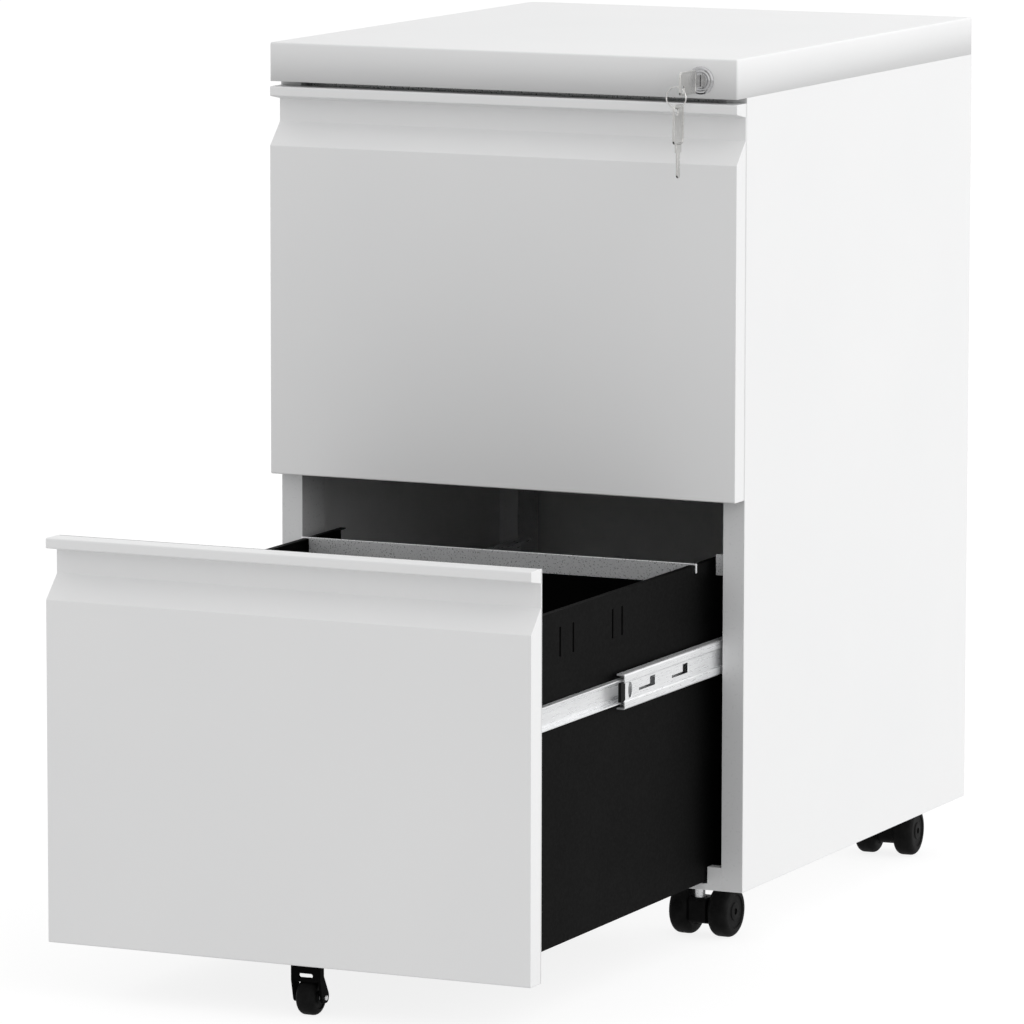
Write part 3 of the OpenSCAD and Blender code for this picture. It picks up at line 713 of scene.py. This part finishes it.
def lock_face():
    """Stepped bezel, plug with an upright keyway, and the parts behind the cover."""
    lo, hi = span("lock_housing")
    centre = Vector(((lo.x + hi.x) / 2, 0, (lo.z + hi.z) / 2))
    face = lo.y
    bezel_r = (hi.x - lo.x) / 2
    bore = PLUG_R + PLUG_SLACK
    bezel = [
        (bore, 0.0), (6.6, -0.25), (7.3, -0.3), (7.8, 0.0), (8.0, 0.35), (8.6, 0.35), (9.2, 0.25),
        (bezel_r - 0.5, 0.6), (bezel_r, 1.2), (bezel_r, 2.5), (8.0, 2.5), (8.0, hi.y - face),
        (bore, hi.y - face),
    ]
    bm = bmesh.new()
    ripple_in = 0.3             # sets the face back, so that its ripples stay inside the box
    flange_t = 2.5
    bezel = [(r, h + ripple_in) if h < flange_t else (r, h) for r, h in bezel]
    lathe(bm, bezel, (centre.x, face, centre.z), (0, 1, 0), 64)
    piece("lock_bezel", bm, "cabinet", "chrome", ("lock_housing",))
    lo, hi = span("lock_plug")
    slot_half = 0.95
    slot_high = 3.1
    ring = arc((centre.x, centre.z), PLUG_R, 0, 354.375, 63)
    x0, x1 = centre.x - slot_half, centre.x + slot_half
    z0, z1 = centre.z - slot_high, centre.z + slot_high
    slot = [(x0, z0), (x1, z0), (x1, z1), (x0, z1)]
    bm = bmesh.new()
    slot_end = lo.y + 20
    plate(bm, ring, "Y", lo.y, slot_end, [slot])
    plate(bm, ring, "Y", slot_end, hi.y)
    piece("lock_plug_face", bm, "lock_core", "chrome", ("lock_plug",), 0.15)


KEY_T = 1.6
FIELD_T = 1.0               # thickness of the bow inside its rim
BOW_L = 30.0
BOW_W = 18.0
SHANK_L = 6.0
SHANK_H = 9.0
BLADE_L = 19.0
BLADE_H = 5.0
HOLE_IN = 5.0
HANG = 2.3                  # the spare key hangs by the top of its hole


def key_mesh(bm, to_place):
    """Cut key lying along +Y in the YZ plane, with y = 0 at its shoulder."""
    start = len(bm.verts)
    key_l = BOW_L + SHANK_L
    half_w = BOW_W / 2
    bow = rounded([(-key_l, -half_w), (-SHANK_L, -half_w), (-SHANK_L, half_w), (-key_l, half_w)],
                  4.0, 6)
    hole = arc((-key_l + HOLE_IN, -half_w + HOLE_IN), 3.2, 0, 345, 23)
    inset = 1.3
    back, front, side = -key_l + inset, -SHANK_L - inset, half_w - inset
    field = rounded([(back, -side), (front, -side), (front, side), (back, side)], 3.0, 6)
    plate(bm, bow, "X", -KEY_T / 2, KEY_T / 2, [field])
    plate(bm, field, "X", -FIELD_T / 2, FIELD_T / 2, [hole])
    half_h = SHANK_H / 2
    shank = [(-SHANK_L - 0.5, -half_h), (0, -half_h), (0, half_h), (-SHANK_L - 0.5, half_h)]
    plate(bm, shank, "X", -KEY_T / 2, KEY_T / 2)
    top = BLADE_H / 2
    cuts = []
    for y, depth in ((2.6, 0.9), (5.4, 1.6), (8.2, 0.6), (11.0, 1.3), (13.8, 0.8)):
        cuts += [(y - 1.0, top), (y - 0.3, top - depth), (y + 0.3, top - depth), (y + 1.0, top)]
    tip = [(BLADE_L - 2, top), (BLADE_L, 1), (BLADE_L, -1), (BLADE_L - 2, -top)]
    blade = [(-0.5, top)] + cuts + tip + [(-0.5, -top)]
    plate(bm, blade, "X", -KEY_T / 2 + 0.1, KEY_T / 2 - 0.1)
    bm.verts.ensure_lookup_table()
    for vert in bm.verts[start:]:
        vert.co = to_place @ vert.co


def keys():
    lo, hi = span("key")
    shoulder = Vector(((lo.x + hi.x) / 2, lo.y + BOW_L + SHANK_L, (lo.z + hi.z) / 2))
    bm = bmesh.new()
    key_mesh(bm, Matrix.Translation(shoulder))
    piece("key_cut", bm, "key", "nickel", ("key",), 0.25)
    lo, hi = span("spare_key")
    tip_down = Matrix.Rotation(math.radians(-90), 4, "X")
    middle = Vector(((lo.x + hi.x) / 2, (lo.y + hi.y) / 2, lo.z + BLADE_L - HANG))
    bm = bmesh.new()
    key_mesh(bm, Matrix.Translation(middle) @ tip_down)
    piece("spare_key_cut", bm, "spare_key", "nickel", ("spare_key",), 0.25)


def key_ring():
    """Split ring: two turns of wire side by side, joined by a short crossing."""
    lo, hi = span("key_ring")
    centre = (lo + hi) / 2
    wire_r = 0.42
    node_wire_r = 0.7
    offset = node_wire_r - wire_r
    radius = (hi.x - lo.x) / 2 - node_wire_r
    turns = 96
    points = []
    for k in range(turns + 1):
        t = 4 * math.pi * k / turns - math.pi / 2
        y = offset * math.tanh((k / turns - 0.5) * 14)
        points.append((centre.x + radius * math.cos(t), centre.y + y, centre.z + radius * math.sin(t)))
    bm = bmesh.new()
    wire(bm, points, wire_r, 10)
    piece("key_ring_wire", bm, "key_ring", "nickel", ("key_ring",))


# ---- casters -------------------------------------------------------------------------------------

STEM_R = 4.0
STEM_HOLE_R = 4.02          # in the collar and the nut
COLLAR_R = 9.0
COLLAR_T = 2.6
NUT_R = 7.5
NUT_T = 5.0
PAN_T = 1.0
WHEEL_GAP = 16.0
WHEEL_W = 16.5
HOOD_W = 14.0


def wheel_profile(r, w, bore):
    """Closed (radius, along) profile: flat tread, round shoulders, and a stepped outer face."""
    shoulder = w * 0.31
    rim = [(r - shoulder + x, shoulder - y) for x, y in arc((0, 0), shoulder, 90, 0, 6)]
    rim += [(r, w / 2)]
    rim += [(r - shoulder + x, w - shoulder + y) for x, y in arc((0, 0), shoulder, 0, 90, 6)]
    face = [(r * 0.66, w), (r * 0.63, w - 0.9), (r * 0.36, w - 0.9), (r * 0.33, w - 0.2),
            (r * 0.2, w), (bore, w)]
    return [(bore, 0), (r * 0.3, 0), (r * 0.34, 0.8), (r * 0.6, 0.8), (r * 0.64, 0)] + rim + face


def caster(where):
    """Twin-wheel caster: two wheels on one axle, and a swivel body with a hood between them."""
    housing, wheels = "caster_housing_" + where, "caster_wheels_" + where
    centre = sum(span(wheels), Vector()) / 2
    hood_top = span(housing)[1].z
    stem = stem_of(where)
    trail = Vector((centre.x - stem.x, centre.y - stem.y, 0))
    back = trail.normalized()
    axle = Vector((back.y, -back.x, 0))
    r = centre.z
    bm = bmesh.new()
    for m in (1, -1):
        tyre = wheel_profile(r, WHEEL_W, 2.52)
        lathe(bm, tyre, centre + axle * m * WHEEL_GAP / 2, axle * m, 64)
    pin_l = WHEEL_GAP + 2 * WHEEL_W - 2.4
    pin = [(0, 0), (2.1, 0), (2.5, 0.4), (2.5, pin_l - 0.4), (2.1, pin_l), (0, pin_l)]
    lathe(bm, pin, centre - axle * pin_l / 2, axle, 24)
    piece(wheels + "_turned", bm, "wheels_" + where, "wheel_nylon", (wheels,))
    bm = bmesh.new()
    place = Matrix.Translation((stem.x, stem.y, 0)) @ Matrix(
        ((axle.x, back.x, 0, 0), (axle.y, back.y, 0, 0), (0, 0, 1, 0), (0, 0, 0, 1)))
    hub_r = 11.5
    hood = [(-6.2, hood_top - 2.2), (-5.0, hood_top), (6.5, hood_top),
            (trail.length + 4, hood_top - 1.0)]
    hood += [(trail.length + a, r + b) for a, b in arc((0, 0), hub_r, 40, -130, 14)]
    hood += [(-5.2, 12.2), (-6.2, 14)]
    start = len(bm.verts)
    plate(bm, hood, "X", -HOOD_W / 2, HOOD_W / 2)
    for vert in list(bm.verts)[start:]:
        vert.co = place @ vert.co
    collar = [(4.06, -1.6), (6.4, -1.6), (6.4, -0.5), (5.9, 0.0), (4.06, 0.0)]
    lathe(bm, collar, (stem.x, stem.y, hood_top), (0, 0, 1), 40)
    piece(housing + "_moulded", bm, "caster_" + where, "nylon", (housing,), 0.6)


def stem_of(where):
    """Place of a caster's stem, one collar's radius in from the corner of the stems' box."""
    lo, hi = span("caster_stems")
    x = hi.x - COLLAR_R if "right" in where else lo.x + COLLAR_R
    y = lo.y + COLLAR_R if "front" in where else hi.y - COLLAR_R
    return Vector((x, y, 0))


def stems():
    """Stems with a collar under the pan, a hexagon nut on it, and two turns of thread above."""
    lo, hi = span("caster_stems")
    bm = bmesh.new()
    pan = span("base_pan")[1].z
    root_r = 3.6
    for where in CORNERS:
        p = stem_of(where)
        thread_z = pan + 5.2
        thread = [(0, lo.z), (root_r, lo.z), (STEM_R, lo.z + 0.5), (STEM_R, thread_z)]
        for k in range(2):
            z = thread_z + 0.8 * k
            thread += [(root_r, z + 0.3), (STEM_R, z + 0.7)]
        thread += [(3.4, hi.z), (0, hi.z)]
        lathe(bm, thread, (p.x, p.y, 0), (0, 0, 1), 32)
        under = pan - PAN_T - COLLAR_T
        collar = [(STEM_HOLE_R, under), (7.6, under), (COLLAR_R, under + 1.2),
                  (COLLAR_R, under + COLLAR_T), (STEM_HOLE_R, under + COLLAR_T)]
        lathe(bm, collar, (p.x, p.y, 0), (0, 0, 1), 40)
        nut = arc((p.x, p.y), NUT_R, 0, 300, 5)
        plate(bm, nut, "Z", pan, pan + NUT_T, [arc((p.x, p.y), STEM_HOLE_R, 0, 348.75, 31)])
    piece("caster_stems_turned", bm, "cabinet", "zinc", ("caster_stems",), 0.3)


def fifth_caster():
    """Small fixed caster under the lower drawer: folded fork with a slot in front, axle, wheel."""
    lo, hi = span("fifth_caster_bracket")
    wheel_lo, wheel_hi = span("fifth_caster_wheel")
    centre = (wheel_lo + wheel_hi) / 2
    r = centre.z
    sheet = 2.0
    seam = 0.01                 # by which the web and the plate run into the cheeks
    cheek_w = 6
    tip_half = 5
    tip_z = r - 4
    y0, top = lo.y, hi.z
    cheek = rounded([(y0, top), (y0, 26.5), (centre.y - tip_half, tip_z),
                     (centre.y + tip_half, tip_z), (centre.y + tip_half, r + 2.5),
                     (y0 + cheek_w, 30), (y0 + cheek_w, top)], (0, 4, 4, 4, 3, 3, 0), 5)
    bm = bmesh.new()
    for x in (lo.x, hi.x - sheet):
        bore = [(centre.y + a, r + b) for a, b in arc((0, 0), 2.03, 0, 345, 23)]
        plate(bm, cheek, "X", x, x + sheet, [bore])
    x0, x1 = lo.x + sheet - seam, hi.x - sheet + seam
    block(bm, (x0, y0, top - sheet), (x1, hi.y, top))
    slot_half = 5.7
    slot_z0 = 28.9
    slot_z1 = 31.9
    left, right = centre.x - slot_half, centre.x + slot_half
    slot = rounded([(left, slot_z0), (right, slot_z0), (right, slot_z1), (left, slot_z1)], 1.4, 5)
    web_z0 = 25.5
    web_z1 = top - 1
    web = rounded([(x0, web_z0), (x1, web_z0), (x1, web_z1), (x0, web_z1)], (2.5, 2.5, 0, 0), 5)
    plate(bm, web, "Y", y0, y0 + sheet, [slot])
    piece("fifth_caster_fork", bm, "lower_drawer", "black_paint", ("fifth_caster_bracket",), 0.4, 3)
    bm = bmesh.new()
    pin_lo, pin_hi = span("fifth_caster_axle")
    length = pin_hi.x - pin_lo.x
    pin = [(0, 0), (1.5, 0), (2.0, 0.5), (2.0, length - 0.5), (1.5, length), (0, length)]
    lathe(bm, pin, (pin_lo.x, centre.y, r), (1, 0, 0), 24)
    piece("fifth_caster_pin", bm, "lower_drawer", "zinc", ("fifth_caster_axle",))
    bm = bmesh.new()
    width = wheel_hi.x - wheel_lo.x
    lathe(bm, wheel_profile(r, width, 2.06), (wheel_lo.x, centre.y, r), (1, 0, 0), 64)
    piece("fifth_caster_wheel_turned", bm, "fifth_wheel", "wheel_nylon", ("fifth_caster_wheel",))


def back_screws():
    lo, hi = span("panel_screws")
    inset = 3.5
    bm = bmesh.new()
    for x in (lo.x + inset, hi.x - inset):
        for z in (lo.z + inset, (lo.z + hi.z) / 2, hi.z - inset):
            screw(bm, (x, lo.y, z), (0, 1, 0), inset)
    piece("panel_screws_heads", bm, "cabinet", "zinc", ("panel_screws",))


def dress(node):
    """Gives a CAD node that stays its detailed finish."""
    materials = frame["nodes"][node].data.materials
    materials[0] = FINISHES[materials[0].name]


make_camera()
make_light()
make_floor()
for node in CARRIED:
    folded(node)
top_cover()
for level in LEVELS:
    drawer_front(level)
    folded(level + "_drawer_liner", 0.1, RIM + 0.05)
    inner_members(level)
    for side in SIDES:
        outer_member(level, side)
        middle_member(level, side)
        ball_cages(level, side)
lock_face()
keys()
key_ring()
for where in CORNERS:
    caster(where)
stems()
fifth_caster()
back_screws()
for node in ("lock_nut", "lock_cam"):
    dress(node)
